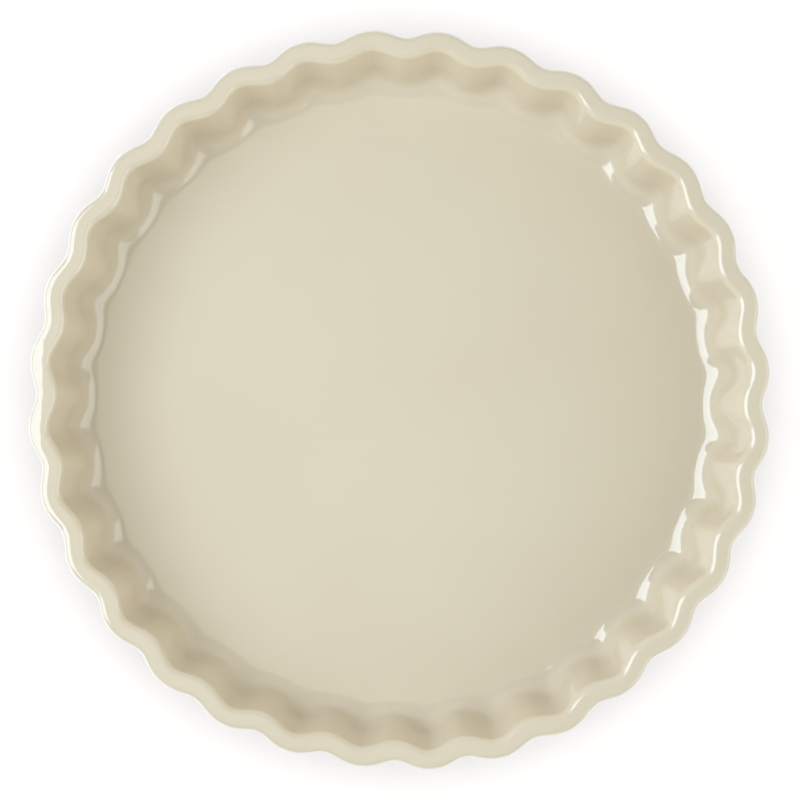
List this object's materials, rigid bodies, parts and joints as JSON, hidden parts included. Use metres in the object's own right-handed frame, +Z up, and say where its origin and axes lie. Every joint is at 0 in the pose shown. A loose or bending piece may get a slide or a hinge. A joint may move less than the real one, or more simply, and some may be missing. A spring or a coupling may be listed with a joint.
{
  "type": "pie dish",
  "caption": "Round pie and tart dish with a flat floor and a low, leaning, evenly fluted wall that ends in a thickened wavy rim. It stands on a bare foot ring and is glazed inside and out.",
  "frame": {"origin": "on the table, under the middle of the dish, in the plane of the foot ring's underside", "axes": "+Z straight up out of the mouth; +X through the middle of one flute's valley, as seen from outside"},
  "size_m": [0.2788, 0.2788, 0.04],
  "materials": {
    "bare_stoneware": "unglazed, fine matt grain",
    "cream_glaze_inside": "glossy cream glaze",
    "cream_glaze_outside": "glossy cream glaze",
    "cream_glaze_base": "glossy cream glaze, thinner"
  },
  "bodies": {
    "root": {"stoneware_body": "bare_stoneware", "inside_glaze": "cream_glaze_inside", "outside_glaze": "cream_glaze_outside", "base_glaze": "cream_glaze_base"}
  },
  "joints": []
}
